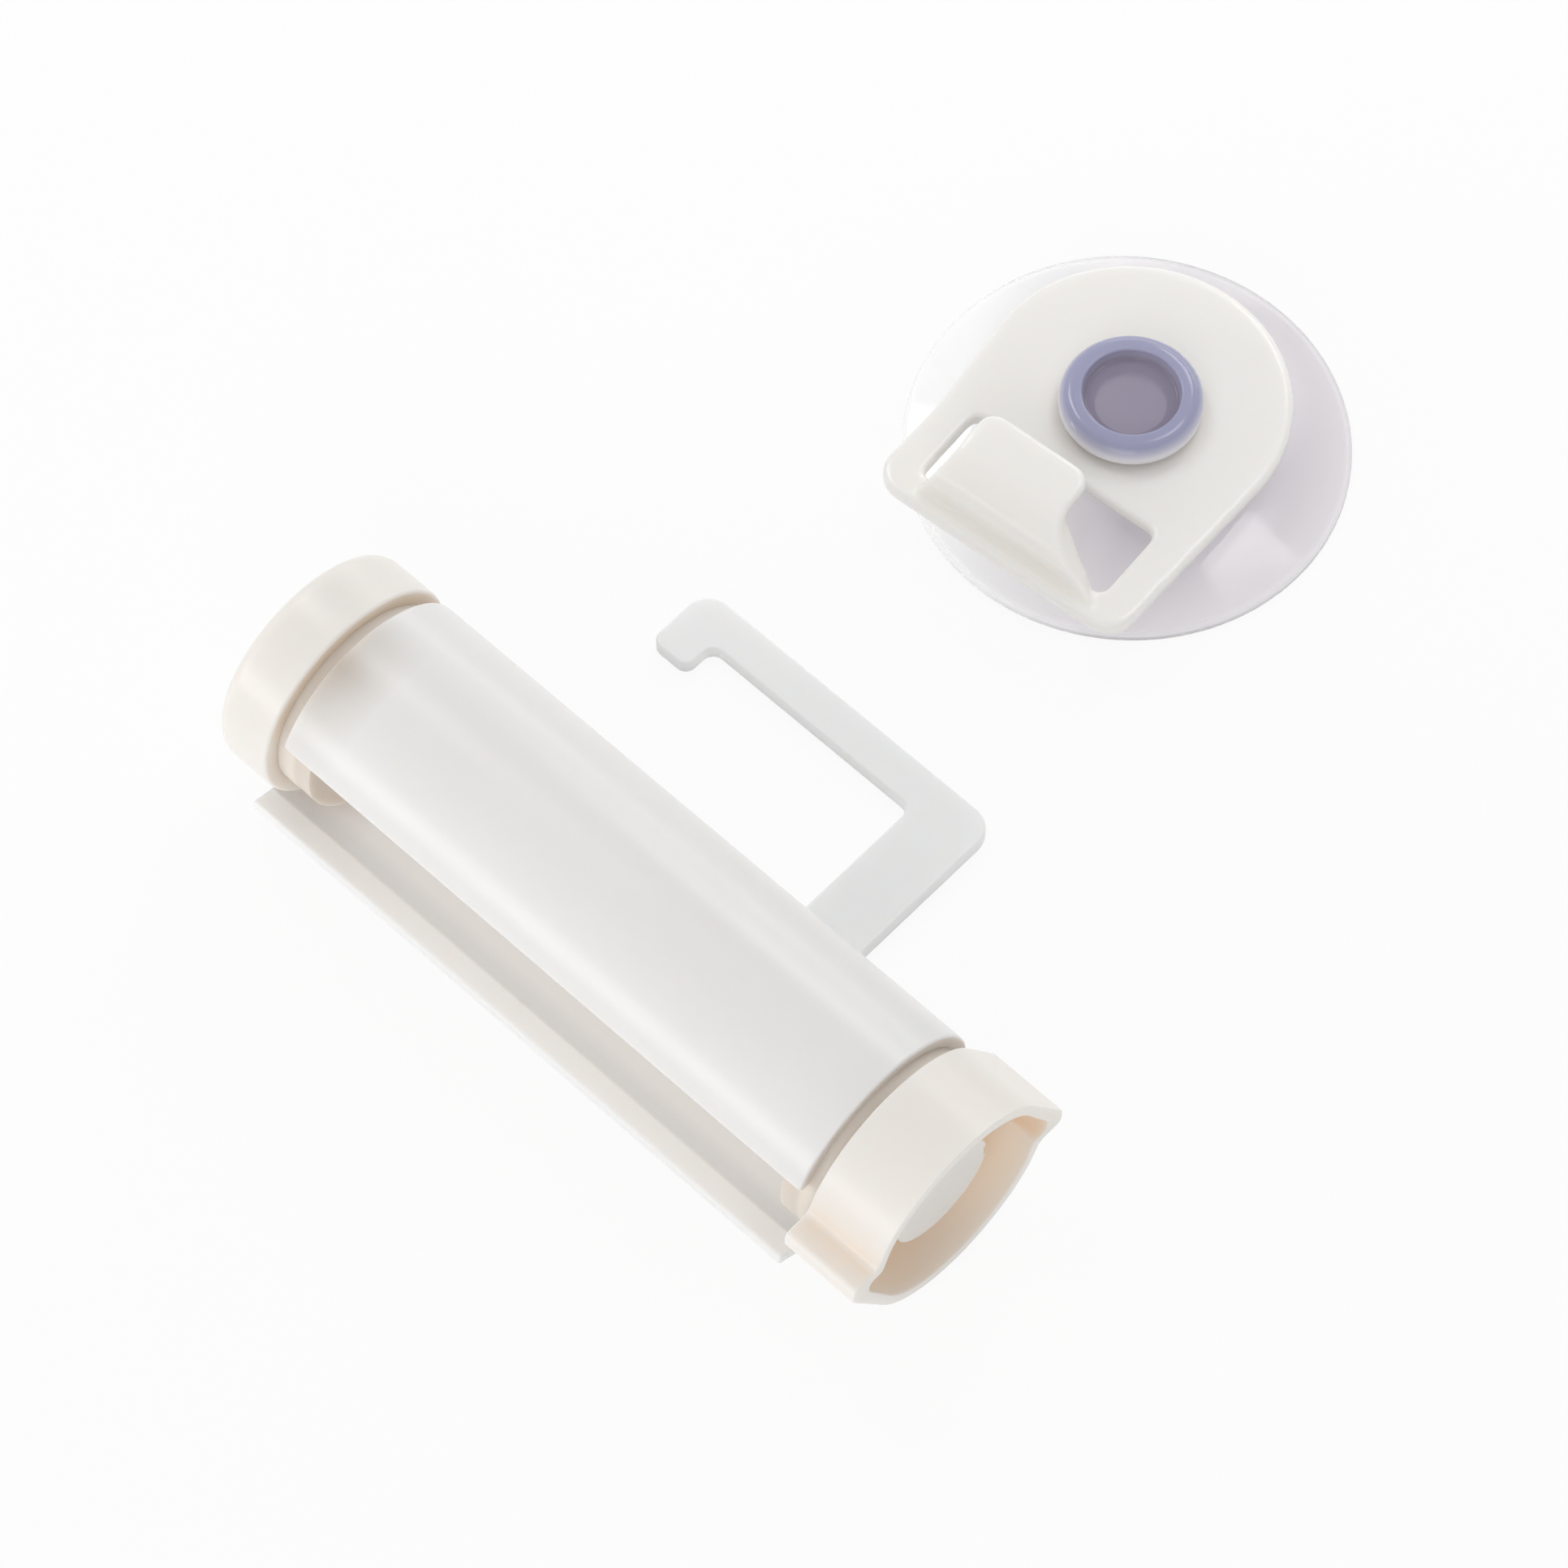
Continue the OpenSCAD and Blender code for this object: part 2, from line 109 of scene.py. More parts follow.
class Shader:
    """The nodes of one material or of the world."""

    def __init__(self, owner):
        owner.use_nodes = True
        self.owner = owner
        self.tree = owner.node_tree
        self.tree.nodes.clear()

    def node(self, kind, settings=None, *values, out=0, **named):
        """Adds a node, sets it up, fills its sockets in order or by name, and gives one output."""
        new = self.tree.nodes.new("ShaderNode" + kind)
        for key, setting in (settings or {}).items():
            setattr(new, key, setting)
        filled = list(enumerate(values))
        filled += [(key.replace("_", " "), value) for key, value in named.items()]
        for key, value in filled:
            if isinstance(value, Value):
                self.tree.links.new(value.socket, new.inputs[key])
            else:
                new.inputs[key].default_value = value
        return Value(self, new.outputs[out]) if new.outputs else None

    def math(self, operation, *values):
        return self.node("Math", {"operation": operation}, *values)

    def mix(self, factor, first, second):
        """A colour between two colours, by the colour sockets of a Mix node."""
        first_in, second_in, colour_out = 6, 7, 2
        new = self.node("Mix", {"data_type": "RGBA"}, factor, out=colour_out).socket.node
        for key, colour in ((first_in, first), (second_in, second)):
            if isinstance(colour, Value):
                self.tree.links.new(colour.socket, new.inputs[key])
            else:
                new.inputs[key].default_value = (*colour, 1)
        return Value(self, new.outputs[colour_out])

    def finish(self, surface, output="OutputMaterial"):
        self.node(output, None, surface)
        return self.owner


def new_shader(name):
    return Shader(bpy.data.materials.new(name))


def in_sight(shader):
    """1 where the eye, a gloss or a clear part looks at a surface, and 0 for the light it gives."""
    rays = ("Is Camera Ray", "Is Glossy Ray", "Is Transmission Ray")
    seen, mirrored, through = (shader.node("LightPath", out=ray) for ray in rays)
    return shader.math("MAXIMUM", shader.math("MAXIMUM", seen, mirrored), through)


def add_object(name, mesh, *materials):
    """Puts a mesh into the scene under a name, with its materials."""
    piece = bpy.data.objects.new(name, mesh)
    for material in materials:
        mesh.materials.append(material)
    bpy.context.scene.collection.objects.link(piece)
    return piece


paper_white = 0.9
paper_glow = 0.9
floor_half = 700 * MM
floor_drop = 0.05 * MM
floor_centre = (cad_low + cad_high) / 2

paper = new_shader("white_paper")
shown = in_sight(paper)
sheet = paper.node("BsdfDiffuse", None, (paper_white, paper_white, paper_white, 1))
glow = paper.node("Emission", None, (1, 1, 1, 1), 1.0)
paper_material = paper.finish(paper.node("MixShader", None, shown * paper_glow, sheet, glow))

floor_shape = bmesh.new()
bmesh.ops.create_grid(floor_shape, x_segments=8, y_segments=8, size=floor_half)
floor_at = (floor_centre.x, floor_centre.y, -floor_drop)
bmesh.ops.translate(floor_shape, verts=floor_shape.verts, vec=floor_at)
floor_mesh = bpy.data.meshes.new("floor")
floor_shape.to_mesh(floor_mesh)
floor = add_object("floor", floor_mesh, paper_material)

# Light.
# A white room that is a little dimmer overhead, a large box on the right, and long boxes low in
# front and low behind, so that the top of a round part stays a shade darker than its two sides.
# Three small boxes, one on the left and two high behind, shine in the glossy plate and the cup.
room = Shader(bpy.context.scene.world or bpy.data.worlds.new("room"))
bpy.context.scene.world = room.owner
room_light, overhead_loss = 0.79, 0.42
upward = room.node("SeparateXYZ", None, room.node("TexCoord"), out="Z")
overhead = room.math("MAXIMUM", upward, 0.0)
seen_part = in_sight(room)
backdrop = seen_part + (1 - seen_part) * (room_light - overhead * overhead_loss)
room.finish(room.node("Background", None, (1, 1, 1, 1), backdrop), "OutputWorld")

target = Vector((0, 30 * MM, 10 * MM))


def soft_box(name, side, distance, size, watts):
    """A rectangular lamp that looks at the object from one side."""
    lamp = bpy.data.lights.new(name, "AREA")
    lamp.shape = "RECTANGLE"
    lamp.size, lamp.size_y = size
    lamp.energy = watts
    stand = bpy.data.objects.new(name, lamp)
    stand.location = target + Vector(side).normalized() * distance
    stand.rotation_euler = (target - stand.location).to_track_quat("-Z", "Y").to_euler()
    bpy.context.scene.collection.objects.link(stand)


soft_box("key_box", side=(0.45, -0.70, 0.52), distance=0.7, size=(0.45, 0.35), watts=0.8)
soft_box("front_box", side=(-0.40, -0.92, 0.20), distance=0.5, size=(0.5, 0.12), watts=0.7)
soft_box("back_box", side=(-0.33, 0.90, 0.30), distance=0.5, size=(0.5, 0.12), watts=0.33)
soft_box("left_box", side=(-0.60, 0.14, 0.78), distance=0.5, size=(0.10, 0.20), watts=0.35)
soft_box("top_box", side=(0.05, 0.47, 0.88), distance=0.5, size=(0.14, 0.12), watts=0.2)
soft_box("rear_box", side=(-0.22, 0.72, 0.65), distance=0.5, size=(0.14, 0.12), watts=0.25)


# Casing.
# One moulding in grey-white plastic: a C-shaped shell with a flat floor and a flared lower jaw.
# Its section is drawn once and run along the spindle, and the hanger arm is moulded on behind.
def arc(centre, radius, start, end, steps):
    """Points of an arc between two angles in radians."""
    turns = [start + (end - start) * i / steps for i in range(steps + 1)]
    return [(centre[0] + radius * cos(a), centre[1] + radius * sin(a)) for a in turns]


def rounded(corners, steps=6):
    """Closed outline from corners (x, y, radius), where a radius of 0 is a sharp corner."""
    outline = []
    for i, (x, y, radius) in enumerate(corners):
        if radius <= 0:
            outline.append((x, y))
            continue
        here = Vector((x, y))
        to_last = (Vector(corners[i - 1][:2]) - here).normalized()
        to_next = (Vector(corners[(i + 1) % len(corners)][:2]) - here).normalized()
        half = to_last.angle(to_next) / 2
        middle = here + (to_last + to_next).normalized() * radius / sin(half)
        start = here + to_last * radius / tan(half) - middle
        end = here + to_next * radius / tan(half) - middle
        turn = (atan2(end.y, end.x) - atan2(start.y, start.x) + 3 * pi) % (2 * pi) - pi
        first = atan2(start.y, start.x)
        outline += arc(middle, radius, first, first + turn, steps)
    return outline


def shape_to_mesh(shape, name):
    """Turns a shape in millimetres into a smooth mesh in metres, with its faces turned outwards."""
    bmesh.ops.remove_doubles(shape, verts=shape.verts, dist=0.001)
    bmesh.ops.recalc_face_normals(shape, faces=shape.faces)
    bmesh.ops.scale(shape, verts=shape.verts, vec=(MM, MM, MM))
    for face in shape.faces:
        face.smooth = True
    mesh = bpy.data.meshes.new(name)
    shape.to_mesh(mesh)
    shape.free()
    return mesh


def soften_edges(piece, width, segments=3, sharp=35):
    """Rounds the edges of a moulding, as its mould does."""
    rounding = piece.modifiers.new("rounding", "BEVEL")
    rounding.width = width * MM
    rounding.segments = segments
    rounding.limit_method = "ANGLE"
    rounding.angle_limit = radians(sharp)
    rounding.harden_normals = False
    rounding.use_clamp_overlap = True
    even = piece.modifiers.new("even_shading", "WEIGHTED_NORMAL")
    even.keep_sharp = True


def prism(shape, outline, place):
    """Adds a closed bar over an outline. place gives a point of the outline at either end."""
    rings = [[shape.verts.new(place(point, end)) for point in outline] for end in (0, 1)]
    count = len(outline)
    for i in range(count):
        shape.faces.new((rings[0][i], rings[0][(i + 1) % count], rings[1][(i + 1) % count], rings[1][i]))
    for ring in rings:
        shape.faces.new(ring)


cloud_mean, cloud_share = 0.35, 0.12
crevice_reach, crevice_dim = 2.5, 0.93
glow_from, glow_full = 0.1, 0.35
sheen_spread = 0.08
scatter_reach = 2.4


def plastic(name, colour, hollow, reach, fall_off, roughness, inner_glow, grain_depth, tints=()):
    """Translucent plastic: faint clouds, a painted tone in hollows and creases, and a fine satin grain.

    hollow is that tone, painted shade where it is darker than colour and painted light where lighter.
    reach is how far the walls of a hollow are felt, and it and grain_depth are in millimetres.
    inner_glow is a glow in hollows, painted light for the light that comes through the walls. tints
    are pairs of a place and the colour that it tends to, painted light and shade.
    """
    shader = new_shader(name)
    at = shader.node("TexCoord", out="Object")
    clouds = shader.node("TexNoise", None, at, Scale=45.0, Detail=3.0, Roughness=0.5)
    own_walls = {"samples": 8, "only_local": True}
    # The two occlusion masks paint the hollow tone into hollows and creases.
    open_far = shader.node("AmbientOcclusion", own_walls, Distance=reach * MM, out="AO")
    tone = shader.mix((clouds - cloud_mean) * cloud_share, colour, hollow)
    depth = shader.math("POWER", 1 - open_far, fall_off)
    body = shader.mix(depth, tone, hollow)
    open_near = shader.node("AmbientOcclusion", {"samples": 8}, Distance=crevice_reach * MM, out="AO")
    body = shader.mix(1 - open_near, body, [part * crevice_dim for part in hollow])
    for place, tint in tints:
        body = shader.mix(place(shader, at), body, tint)
    # The hollows glow: painted light.
    inside = shader.node("MapRange", {"clamp": True}, 1 - open_far, glow_from, glow_full, 0.0, 1.0)
    grain = shader.node("TexNoise", None, at, Scale=2600.0, Detail=2.0)
    sheen_patches = shader.node("TexNoise", None, at, Scale=120.0, Detail=2.0)
    bump = shader.node("Bump", None, Strength=0.12, Distance=grain_depth * MM, Height=grain)
    surface = shader.node(
        "BsdfPrincipled", {"subsurface_method": "RANDOM_WALK"},
        Base_Color=body, Roughness=roughness + (sheen_patches - 0.5) * sheen_spread, Normal=bump,
        IOR=1.49, Subsurface_Weight=0.6, Subsurface_Scale=scatter_reach * MM,
        Subsurface_Radius=(1.0, 0.85, 0.72),
        Emission_Color=shader.mix(inside, (0, 0, 0), (1, 0.99, 0.98)), Emission_Strength=inner_glow,
    )
    return shader.finish(surface)


cap_low, cap_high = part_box("end_cap")
casing_low, casing_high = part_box("casing")
axis_z = (cap_low.z + cap_high.z) / 2 / MM
shell_r = casing_high.z / MM - axis_z
shell_wall = 1.6
bore_r = shell_r - shell_wall
shell_end = casing_high.x / MM
jaw_left = casing_low.x / MM
jaw_short = 1.5
jaw_right = shell_end - jaw_short
lip_at = radians(156)
lip_r = 0.7
foot_back = 5.0
floor_t = 2.0
inner_foot_y = -2.5
jaw_from = -7.2
crease_y = -10.3
flare_len = 2.9
flare_t = 1.2
flare_rise = radians(14)
casing_edge = 0.28

end_shade_y, end_shade_half, end_shade_len, end_shade_deep = -3.5, 9.0, 7.0, 0.9
# How far the painted light runs into the arm, and how strong it is on the flare.
painted_light_arm_len = 4.0
painted_light_flare, flare_fade, flare_over = 0.8, 0.2, 0.1
crease_deep, crease_rise, crease_from, crease_to = 0.35, 0.3, -9.0, -7.4
low_z, low_z_end = 3.5, 5.0


def fade(shader, length, start, end, first, last):
    """A factor that runs from first to last while a length runs between two sizes in millimetres."""
    return shader.node("MapRange", {"clamp": True}, length, start * MM, end * MM, first, last)


def ramp(shader, at, axis, start, end, first, last):
    """The same between two places on the axis "X", "Y" or "Z"."""
    return fade(shader, shader.node("SeparateXYZ", None, at, out=axis), start, end, first, last)


def low_down(shader, at):
    """1 on the floor of the casing, the jaw and the arm, and 0 on the shell above them."""
    return ramp(shader, at, "Z", low_z, low_z_end, 1.0, 0.0)


def end_shade(shader, at):
    """The warm shade that lies on the casing beside the end cap."""
    y = shader.node("SeparateXYZ", None, at, out="Y")
    aside = shader.math("ABSOLUTE", y - end_shade_y * MM)
    near_end = ramp(shader, at, "X", -shell_end, end_shade_len - shell_end, end_shade_deep, 0.0)
    return near_end * fade(shader, aside, 0.0, end_shade_half, 1.0, 0.0)


def painted_light_walls(shader, at):
    """Painted light on the hanger arm and the flare, which makes them lighter than the shell."""
    in_arm = ramp(shader, at, "Y", foot_back, foot_back + painted_light_arm_len, 0.0, 1.0)
    in_flare = ramp(shader, at, "Y", crease_y - flare_fade, crease_y + flare_over, painted_light_flare, 0.0)
    return (in_arm + in_flare) * low_down(shader, at)


def crease_shade(shader, at):
    """The shade on the floor of the mouth, just behind the crease of the flare."""
    behind = ramp(shader, at, "Y", crease_y, crease_y + crease_rise, 0.0, crease_deep)
    fades = ramp(shader, at, "Y", crease_from, crease_to, 1.0, 0.0)
    return behind * fades * low_down(shader, at)


# The casing is painted: a warm shade beside the end cap, painted light on the arm and the flare, and a
# grey painted shade behind the crease of the flare.
warm_shade, painted_light_white, grey_shade = (0.50, 0.43, 0.36), (0.92, 0.915, 0.905), (0.5, 0.5, 0.5)
# The casing's hollows are painted darker, as shade, and the mouth glows with painted light.
casing_white = plastic(
    "casing_plastic", colour=(0.80, 0.795, 0.785), hollow=(0.66, 0.63, 0.60), reach=30,
    fall_off=0.8, roughness=0.3, inner_glow=0.23, grain_depth=0.012,
    tints=((end_shade, warm_shade), (painted_light_walls, painted_light_white), (crease_shade, grey_shade)),
)

foot_z = axis_z - sqrt(shell_r ** 2 - foot_back ** 2)
lip_out = (shell_r * cos(lip_at), shell_r * sin(lip_at))
lip_in = (bore_r * cos(lip_at), bore_r * sin(lip_at))
lip_step = 0.12
shell_steps = 110
outer = arc((0, axis_z), shell_r, atan2(foot_z - axis_z, foot_back), lip_at - lip_step, shell_steps)
inner = arc((0, axis_z), bore_r, lip_at - lip_step, -pi / 2, shell_steps)
lip = rounded([
    (*outer[-1], 0),
    (lip_out[0], axis_z + lip_out[1], lip_r),
    (lip_in[0], axis_z + lip_in[1], lip_r),
    (*inner[0], 0),
], steps=8)[1:-1]
shell_section = [(jaw_from, 0), (foot_back, 0)] + outer + lip + inner
shell_section += [(inner_foot_y, floor_t), (jaw_from, floor_t)]

out_y, out_z = -cos(flare_rise) * flare_len, sin(flare_rise) * flare_len
down_y, down_z = -sin(flare_rise) * flare_t, -cos(flare_rise) * flare_t
flare_round, crease_round, heel_round = 0.45, 0.5, 0.8
jaw_section = rounded([
    (jaw_from, floor_t, 0),
    (crease_y, floor_t, crease_round),
    (crease_y + out_y, floor_t + out_z, flare_round),
    (crease_y + out_y + down_y, floor_t + out_z + down_z, flare_round),
    (crease_y + down_y, 0, heel_round),
    (jaw_from, 0, 0),
], steps=5)

casing_shape = bmesh.new()
stations = (jaw_left, -shell_end, jaw_right, shell_end)


def run_section(section, from_station, to_station, closed_spans):
    """Runs a section along the stations. Its last edge is a wall only on the closed spans."""
    rings = {
        s: [casing_shape.verts.new((stations[s], y, z)) for y, z in section]
        for s in range(from_station, to_station + 1)
    }
    count = len(section)
    for s in range(from_station, to_station):
        for i in range(count if s in closed_spans else count - 1):
            j = (i + 1) % count
            casing_shape.faces.new((rings[s][i], rings[s][j], rings[s + 1][j], rings[s + 1][i]))
    casing_shape.faces.new(rings[from_station])
    casing_shape.faces.new(rings[to_station])


run_section(shell_section, 1, 3, (2,))
run_section(jaw_section, 0, 2, (0,))
casing = add_object("casing_shell", shape_to_mesh(casing_shape, "casing_shell"), casing_white)
soften_edges(casing, casing_edge)

arm_near, arm_far = 9.2, 17.5
arm_reach = casing_high.y / MM
arm_long, arm_w = 43.3, 4.8
tip_w, tip_len = 5.4, 4.2
arm_end = arm_far - arm_long
arm_tip = arm_end + tip_w
rail_in = arm_reach - arm_w
tip_in = rail_in - tip_len
arm_t = 2.0
arm_base = 1.0
arm_corner, arm_bend = 3.0, 1.4
arm_edge = 0.35
arm_outline = rounded([
    (arm_near, arm_base, 0), (arm_far, arm_base, 0),
    (arm_far, arm_reach, arm_corner), (arm_end, arm_reach, arm_corner),
    (arm_end, tip_in, arm_bend), (arm_tip, tip_in, arm_bend),
    (arm_tip, rail_in, arm_bend), (arm_near, rail_in, arm_bend),
], steps=10)
arm_shape = bmesh.new()
prism(arm_shape, arm_outline, lambda point, end: (*point, end * arm_t))
arm = add_object("hanger_arm", shape_to_mesh(arm_shape, "hanger_arm"), casing_white)
soften_edges(arm, arm_edge)

for part in (casing, arm):
    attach(part, "case")
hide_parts("casing")

# Spindle.
# The shaft that winds the tube, painted a darker cream than its caps as shade. It shows in the two
# necks and through the mouth, and its flanges run in the bore of the casing.
bore_deep, bore_full, bore_from = 0.35, 1.0, 0.4


def in_bore(shader, at):
    """The stretch of the spindle that lies inside the casing, where little light comes."""
    right = ramp(shader, at, "X", shell_end - bore_full, shell_end - bore_from, bore_deep, 0.0)
    return right * ramp(shader, at, "X", bore_from - shell_end, bore_full - shell_end, 0.0, 1.0)


# Inside the bore the shaft is painted darker still, as shade; its hollows are painted lighter and glow, as
# painted light.
shaft_cream_painted_shade = plastic(
    "shaft_plastic", colour=(0.78, 0.71, 0.635), hollow=(0.88, 0.81, 0.74), reach=6,
    fall_off=0.8, roughness=0.4, inner_glow=0.12, grain_depth=0.01, tints=((in_bore, warm_shade),),
)
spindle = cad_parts["spindle"]
spindle.data.materials.clear()
spindle.data.materials.append(shaft_cream_painted_shade)


# End cap.
# A plain round cap in cream plastic, pushed on to the left stub of the spindle. It is turned
# from one profile with a well rounded outer edge.
def lathe(name, profile, origin, axis, material, steps=144):
    """Turns a closed profile of (radius, height) about an axis through origin."""
    shape = bmesh.new()
    turn = Vector((0, 0, 1)).rotation_difference(Vector(axis))
    rings = []
    for i in range(steps):
        spin = Matrix.Rotation(2 * pi * i / steps, 3, "Z")
        ring = []
        for radius, height in profile:
            point = turn @ (spin @ Vector((max(radius, 0), 0, height)))
            ring.append(shape.verts.new(point + Vector(origin)))
        rings.append(ring)
    count = len(profile)
    for i in range(steps):
        last, this = rings[i - 1], rings[i]
        for j in range(count):
            k = (j + 1) % count
            if profile[j][0] <= 0 and profile[k][0] <= 0:
                continue
            shape.faces.new((last[j], last[k], this[k], this[j]))
    return add_object(name, shape_to_mesh(shape, name), material)


cap_r = (cap_high.z - cap_low.z) / 2 / MM
cap_len = (cap_high.x - cap_low.x) / MM
cap_wall = 1.4
cap_step = 0.1
cap_bore = bore_r - cap_step
cap_dome = 0.25
cap_edge, cap_crown, cap_rim, cap_rim_inner, cap_floor = 1.7, 6, 0.4, 0.05, 0.8
cap_profile = rounded([
    (0, cap_len - cap_wall, 0),
    (cap_bore, cap_len - cap_wall, cap_floor),
    (cap_bore, 0, cap_rim_inner),
    (cap_r, 0, cap_rim),
    (cap_r, cap_len - cap_dome, cap_edge),
    (cap_r / 2, cap_len, cap_crown),
    (0, cap_len, 0),
], steps=10)
# The hollows of the cap and the knob are painted a warm tan, as shade, and glow faintly with painted
# light.
cream = plastic(
    "cream_plastic", colour=(0.84, 0.805, 0.765), hollow=(0.87, 0.68, 0.50), reach=9,
    fall_off=0.8, roughness=0.34, inner_glow=0.06, grain_depth=0.01,
)
cap_at = (cap_high.x / MM, 0, axis_z)
end_cap = lathe("end_cap_moulding", cap_profile, cap_at, (-1, 0, 0), cream)
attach(end_cap, "winder")
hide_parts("end_cap")


# Knob.
# The winged knob in cream plastic, open at its outer end, with a hub on the right stub. Its
# wings leave the round body on a tangent and meet it again in a hollow.
hollow_span = radians(14)


def knob_outline(radius, reach, top, tip, hollow, blunt):
    """Round body with two wings, one turned half round from the other.

    A wing runs out to reach between top and top - tip, hollow is the fillet where it meets the body,
    and blunt rounds the two corners of its end.
    """
    lead = (-reach, top - tip)
    leave = atan2(lead[1], lead[0]) + acos(radius / hypot(*lead))
    leave += 2 * pi if leave < 0 else 0
    meet = 2 * pi - asin(top / radius)
    stop = meet - hollow_span
    body_steps = 44
    half = [(*point, 0) for point in arc((0, 0), radius, leave, stop, body_steps)]
    half += [(radius * cos(meet), -top, hollow), (reach, -top, blunt), (reach, tip - top, blunt)]
    return rounded(half + [(-y, -z, r) for y, z, r in half], steps=7)


knob_low, knob_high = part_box("knob")
knob_r = (knob_high.z - knob_low.z) / 2 / MM
wing_reach = knob_high.y / MM
wing_top = 3.7
wing_tip = 2.2
wing_blunt = 0.8
wing_hollow = 1.2
knob_wall = 1.3
knob_web = 1.6
wing_solid = 2.4
inner_tip, inner_blunt = 1.9, 0.85
hub_r = 6.1
knob_edge = 0.35
plug_low, plug_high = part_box("knob_plug")
knob_back, knob_front = knob_low.x / MM, knob_high.x / MM
plug_front = plug_high.x / MM
plug_t = 1.2
outer_rim = knob_outline(knob_r, wing_reach, wing_top, wing_tip, wing_hollow, wing_blunt)
inner_rim = knob_outline(
    knob_r - knob_wall, wing_reach - wing_solid, wing_top - knob_wall,
    inner_tip, wing_hollow / 2, inner_blunt,
)
hub_ring = [(hub_r * cos(atan2(z, y)), hub_r * sin(atan2(z, y))) for y, z in inner_rim]
knob_rings = (
    (outer_rim, knob_back), (outer_rim, knob_front), (inner_rim, knob_front),
    (inner_rim, knob_back + knob_web), (hub_ring, knob_back + knob_web), (hub_ring, plug_front - plug_t),
)
knob_shape = bmesh.new()
rings = [[knob_shape.verts.new((x, y, z + axis_z)) for y, z in ring] for ring, x in knob_rings]
for ring, following in zip(rings, rings[1:]):
    for i in range(len(ring)):
        knob_shape.faces.new((ring[i - 1], ring[i], following[i], following[i - 1]))
knob_shape.faces.new(rings[0])
knob_shape.faces.new(rings[-1])
knob = add_object("knob_moulding", shape_to_mesh(knob_shape, "knob_moulding"), cream)
soften_edges(knob, knob_edge)
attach(knob, "winder")
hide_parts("knob")

# Knob plug.
# A flat cream plug with two small notches in its rim, pushed into the end of the spindle, so
# that it holds the knob on.
plug_r = (plug_high.z - plug_low.z) / 2 / MM
notch_w = 0.9
notch_depth = 0.35
notch_half = asin(notch_w / plug_r)
plug_edge = 0.15
plug_outline = []
for side in (0, pi):
    plug_outline += arc((0, 0), plug_r - notch_depth, side - notch_half, side + notch_half, steps=2)
    plug_outline += arc((0, 0), plug_r, side + notch_half, side + pi - notch_half, steps=48)
plug_shape = bmesh.new()
prism(plug_shape, plug_outline, lambda p, end: (plug_front - plug_t + end * plug_t, p[0], p[1] + axis_z))
plug = add_object("plug_head", shape_to_mesh(plug_shape, "plug_head"), cream)
soften_edges(plug, plug_edge)
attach(plug, "winder")
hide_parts("knob_plug")

# Suction cup.
# One moulding in soft clear vinyl with a pale violet tint: a thin cup, a shoulder and a neck for
# the hook plate, and a thick button that the plate snaps over, with a recess in its top. The
# thick vinyl is deeper in colour and less clear.
cup_low, cup_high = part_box("suction_cup")
cup_x, cup_y = (cup_low.x + cup_high.x) / 2 / MM, (cup_low.y + cup_high.y) / 2 / MM
cup_r = (cup_high.x - cup_low.x) / 2 / MM
button_top = cup_high.z / MM
button_t = 2.9
button_z = button_top - button_t
button_r = 8.1
shoulder_h, shoulder_r = 6.0, 6.5
crown_t, rim_t, land_w = 2.1, 0.8, 1.6
crown = shoulder_h - crown_t
land_r = cup_r - land_w
swell = 0.42
neck_r = 4.0
recess_r, recess_d, recess_slope = 5.2, 1.3, 0.35
crown_round, bowl_round, rim_edge, shoulder_edge = 4, 30, 0.2, 0.6
neck_round, button_under, button_round, recess_round = 0.4, 0.9, 1.7, 0.3
cup_profile = rounded([
    (0, crown, 0),
    (shoulder_r, crown, crown_round),
    ((shoulder_r + land_r) / 2, crown * swell, bowl_round),
    (land_r, 0, 0),
    (cup_r, 0, rim_edge),
    (cup_r, rim_t, rim_t / 2),
    ((shoulder_r + cup_r) / 2, rim_t + (shoulder_h - rim_t) * swell, bowl_round),
    (shoulder_r, shoulder_h, shoulder_edge),
    (neck_r, shoulder_h, neck_round),
    (neck_r, button_z, neck_round),
    (button_r, button_z, button_under),
    (button_r, button_top, button_round),
    (recess_r + recess_slope, button_top, recess_round),
    (recess_r, button_top - recess_d, recess_round),
    (0, button_top - recess_d, 0),
], steps=10)
vinyl = new_shader("clear_vinyl")
vinyl_at = vinyl.node("TexCoord", out="Object")
vinyl_clouds = vinyl.node("TexNoise", None, vinyl_at, Scale=70.0, Detail=3.0)
height = vinyl.node("SeparateXYZ", None, vinyl_at, out="Z")
button_from, button_full = 6.5, 8.5
in_button = fade(vinyl, height, button_from, button_full, 0.0, 1.0)
cup_middle = (cup_x * MM, cup_y * MM, 0)
level_at = vinyl_at.scaled((1, 1, 0))
off_axis = vinyl.node("VectorMath", {"operation": "DISTANCE"}, level_at, cup_middle, out="Value")
recess_fade = 0.5
in_recess = fade(vinyl, off_axis, recess_r, recess_r + recess_fade, 1.0, 0.0)
ring_violet, recess_violet, painted_highlight_violet = (0.38, 0.385, 0.56), (0.28, 0.25, 0.35), (0.86, 0.84, 0.89)
button_tint = vinyl.mix(in_recess, ring_violet, recess_violet)
# The lower side of the button is painted lighter: a painted highlight on its rounded edge.
under_to, under_from = 10.0, 11.2
low_side = fade(vinyl, height, under_to, under_from, 1.0, 0.0)
button_tint = vinyl.mix(low_side * (1 - in_recess), button_tint, painted_highlight_violet)
